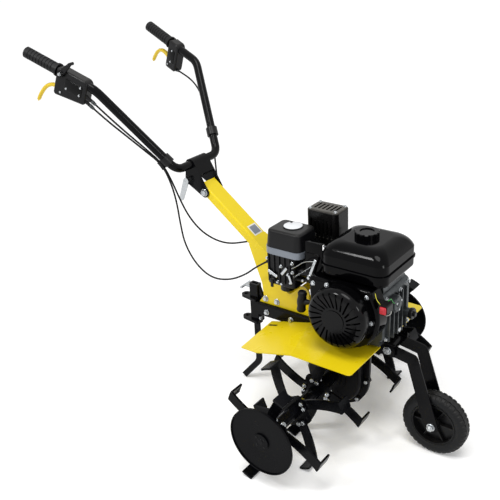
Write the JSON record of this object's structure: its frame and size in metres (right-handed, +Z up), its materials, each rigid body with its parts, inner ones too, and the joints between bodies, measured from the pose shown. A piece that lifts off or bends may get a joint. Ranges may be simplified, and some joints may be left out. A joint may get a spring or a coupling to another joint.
{
  "type": "garden tiller",
  "caption": "Walk-behind petrol garden tiller with sickle tines, crop discs, fenders, a front wheel, a coulter and a tall handlebar.",
  "frame": {"origin": "on the ground, on the middle plane, half way between the front of the wheel and the ends of the grips", "axes": "+X forward to the front wheel, +Y to the machine's left, +Z up"},
  "size_m": [1.3186, 0.8, 1.1022],
  "materials": {
    "yellow_paint": "gloss",
    "black_paint": "satin",
    "tine_steel": "satin",
    "zinc_steel": "satin",
    "cast_aluminium": "satin",
    "black_cast": "satin",
    "black_plastic": "matte",
    "gloss_black": "gloss",
    "silver_plastic": "satin",
    "red_plastic": "gloss",
    "yellow_plastic": "satin",
    "grip_rubber": "matte",
    "tyre_rubber": "matte"
  },
  "bodies": {
    "frame": {"carburettor_housing": "black_plastic", "chain_case": "black_cast", "clamp_pivot_bolt": "zinc_steel", "clutch_cable": "black_plastic", "column_base": "yellow_paint", "coulter_bolt": "zinc_steel", "crankcase": "cast_aluminium", "cylinder": "cast_aluminium", "drive_cover": "black_plastic", "engine_switch": "red_plastic", "fan_housing": "gloss_black", "fender_left": "yellow_paint", "fender_right": "yellow_paint", "filter_base": "silver_plastic", "filter_cover": "black_plastic", "fork_pivot_bolt": "zinc_steel", "frame_channel": "black_paint", "fuel_tank": "gloss_black", "hitch_bracket": "black_paint", "muffler": "zinc_steel", "muffler_guard": "black_paint", "recoil_cover": "black_plastic", "reverse_cable": "black_plastic", "steering_column": "yellow_paint", "tank_cap": "black_plastic", "throttle_cable": "black_plastic", "valve_cover": "black_paint"},
    "tine_rotor": {"tine_axle": "zinc_steel", "tine_reel_right": "tine_steel", "tine_reel_left": "tine_steel", "crop_disc_right": "tine_steel", "crop_disc_left": "tine_steel"},
    "wheel_arm": {"fork_plate_right": "black_paint", "fork_plate_left": "black_paint", "fork_crosshead": "black_paint", "wheel_bolt": "zinc_steel"},
    "front_wheel": {"front_tyre": "tyre_rubber", "wheel_rim": "black_plastic"},
    "handlebar_frame": {"handlebar": "black_paint", "handlebar_clamp": "black_paint", "cam_lever": "zinc_steel", "grip_right": "grip_rubber", "grip_left": "grip_rubber", "control_housing_right": "black_plastic", "control_housing_left": "black_plastic", "control_lever_right": "yellow_plastic", "control_lever_left": "yellow_plastic", "throttle_lever": "black_plastic", "cable_clip_right": "black_plastic", "cable_clip_left": "black_plastic"},
    "coulter_bar": {"coulter": "black_paint"}
  },
  "joints": [
    {"name": "tine_spin", "type": "hinge", "parent": "frame", "child": "tine_rotor", "pos_m": [0.2463, 0, 0.15149], "axis": [0, 1, 0], "continuous": true},
    {"name": "wheel_arm_lift", "type": "hinge", "parent": "frame", "child": "wheel_arm", "pos_m": [0.4293, 0, 0.306], "axis": [0, 1, 0], "range_deg": [-45, 0]},
    {"name": "wheel_spin", "type": "hinge", "parent": "wheel_arm", "child": "front_wheel", "pos_m": [0.5643, 0, 0.095], "axis": [0, 1, 0], "continuous": true},
    {"name": "handlebar_height", "type": "hinge", "parent": "frame", "child": "handlebar_frame", "pos_m": [-0.2027, 0, 0.655], "axis": [0, 1, 0], "range_deg": [-15, 20], "deforming": ["clutch_cable", "throttle_cable", "reverse_cable"]},
    {"name": "coulter_depth", "type": "slide", "parent": "frame", "child": "coulter_bar", "axis": [0, 0, 1], "range_m": [0, 0.09]}
  ]
}
